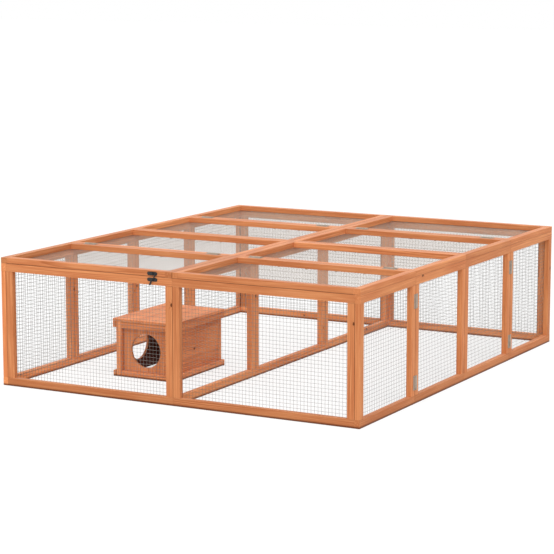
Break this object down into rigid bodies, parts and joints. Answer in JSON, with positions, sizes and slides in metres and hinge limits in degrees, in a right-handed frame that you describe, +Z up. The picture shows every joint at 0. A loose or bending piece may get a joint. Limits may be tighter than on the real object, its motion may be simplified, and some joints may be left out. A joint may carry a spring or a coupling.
{
  "type": "outdoor rabbit run",
  "caption": "Low outdoor pen of framed wire-mesh panels with a lifting mesh roof, open divider frames along its middle, a latch and a loose wooden hide box.",
  "frame": {"origin": "middle of the plan at ground level, on the underside of the divider's middle bottom rail", "axes": "+Z up, +Y from the front to the back along the divider, +X to the right seen from the front"},
  "size_m": [1.4304, 1.7062, 0.4672],
  "materials": {
    "stained_wood": "orange-brown stained fir, satin",
    "hide_wood": "orange-brown stained fir boards, satin",
    "galvanised_wire": "galvanised welded wire",
    "zinc_plate": "zinc-plated steel",
    "black_plate": "black coated steel, satin"
  },
  "bodies": {
    "run": {"front_left_frame": "stained_wood", "front_right_frame": "stained_wood", "back_left_frame": "stained_wood", "back_right_frame": "stained_wood", "left_wall_middle_frame": "stained_wood", "right_wall_middle_frame": "stained_wood", "roof_left_middle_frame": "stained_wood", "roof_right_middle_frame": "stained_wood", "divider_front_frame": "stained_wood", "divider_middle_frame": "stained_wood", "divider_rear_frame": "stained_wood", "front_left_mesh": "galvanised_wire", "front_right_mesh": "galvanised_wire", "back_left_mesh": "galvanised_wire", "back_right_mesh": "galvanised_wire", "left_wall_middle_mesh": "galvanised_wire", "right_wall_middle_mesh": "galvanised_wire", "roof_left_middle_mesh": "galvanised_wire", "roof_right_middle_mesh": "galvanised_wire", "roof_fixed_hinge_leaves": "zinc_plate", "wall_fixed_hinge_leaves": "zinc_plate", "hinge_pins": "zinc_plate", "fixed_hinge_screws": "zinc_plate", "latch_base": "black_plate"},
    "front_left_lid": {"front_left_lid_frame": "stained_wood", "front_left_lid_mesh": "galvanised_wire", "front_left_lid_hinge_leaves": "zinc_plate", "latch_catch": "black_plate"},
    "front_right_lid": {"front_right_lid_frame": "stained_wood", "front_right_lid_mesh": "galvanised_wire", "front_right_lid_hinge_leaves": "zinc_plate"},
    "rear_left_lid": {"rear_left_lid_frame": "stained_wood", "rear_left_lid_mesh": "galvanised_wire", "rear_left_lid_hinge_leaves": "zinc_plate"},
    "rear_right_lid": {"rear_right_lid_frame": "stained_wood", "rear_right_lid_mesh": "galvanised_wire", "rear_right_lid_hinge_leaves": "zinc_plate"},
    "left_wall_front": {"left_wall_front_frame": "stained_wood", "left_wall_front_mesh": "galvanised_wire", "left_wall_front_hinge_leaves": "zinc_plate"},
    "left_wall_rear": {"left_wall_rear_frame": "stained_wood", "left_wall_rear_mesh": "galvanised_wire", "left_wall_rear_hinge_leaves": "zinc_plate"},
    "right_wall_front": {"right_wall_front_frame": "stained_wood", "right_wall_front_mesh": "galvanised_wire", "right_wall_front_hinge_leaves": "zinc_plate"},
    "right_wall_rear": {"right_wall_rear_frame": "stained_wood", "right_wall_rear_mesh": "galvanised_wire", "right_wall_rear_hinge_leaves": "zinc_plate"},
    "latch_hook": {"latch_hook": "black_plate"},
    "hide_box": {"hide_roof": "hide_wood", "hide_front_panel": "hide_wood", "hide_back_panel": "hide_wood", "hide_left_panel": "hide_wood", "hide_right_panel": "hide_wood", "hide_posts": "hide_wood", "hide_rails": "hide_wood", "hide_battens": "hide_wood"}
  },
  "joints": [
    {"name": "front_left_lid_lift", "type": "hinge", "parent": "run", "child": "front_left_lid", "pos_m": [-0.355, -0.425, 0.4647], "axis": [-1, 0, 0], "range_deg": [0, 170]},
    {"name": "front_right_lid_lift", "type": "hinge", "parent": "run", "child": "front_right_lid", "pos_m": [0.355, -0.425, 0.4647], "axis": [-1, 0, 0], "range_deg": [0, 170]},
    {"name": "rear_left_lid_lift", "type": "hinge", "parent": "run", "child": "rear_left_lid", "pos_m": [-0.355, 0.425, 0.4647], "axis": [1, 0, 0], "range_deg": [0, 170]},
    {"name": "rear_right_lid_lift", "type": "hinge", "parent": "run", "child": "rear_right_lid", "pos_m": [0.355, 0.425, 0.4647], "axis": [1, 0, 0], "range_deg": [0, 170]},
    {"name": "left_wall_front_fold", "type": "hinge", "parent": "run", "child": "left_wall_front", "pos_m": [-0.7127, -0.425, 0.22], "axis": [0, 0, -1], "range_deg": [0, 175]},
    {"name": "left_wall_rear_fold", "type": "hinge", "parent": "run", "child": "left_wall_rear", "pos_m": [-0.7127, 0.425, 0.22], "axis": [0, 0, 1], "range_deg": [0, 175]},
    {"name": "right_wall_front_fold", "type": "hinge", "parent": "run", "child": "right_wall_front", "pos_m": [0.7127, -0.425, 0.22], "axis": [0, 0, 1], "range_deg": [0, 175]},
    {"name": "right_wall_rear_fold", "type": "hinge", "parent": "run", "child": "right_wall_rear", "pos_m": [0.7127, 0.425, 0.22], "axis": [0, 0, -1], "range_deg": [0, 175]},
    {"name": "latch_hook_turn", "type": "hinge", "parent": "run", "child": "latch_hook", "pos_m": [-0.078, -0.854, 0.4312], "axis": [0, 1, 0], "range_deg": [-25, 65]},
    {"name": "hide_box_shift", "type": "slide", "parent": "run", "child": "hide_box", "axis": [0, 1, 0], "range_m": [-0.29, 0.98]}
  ]
}
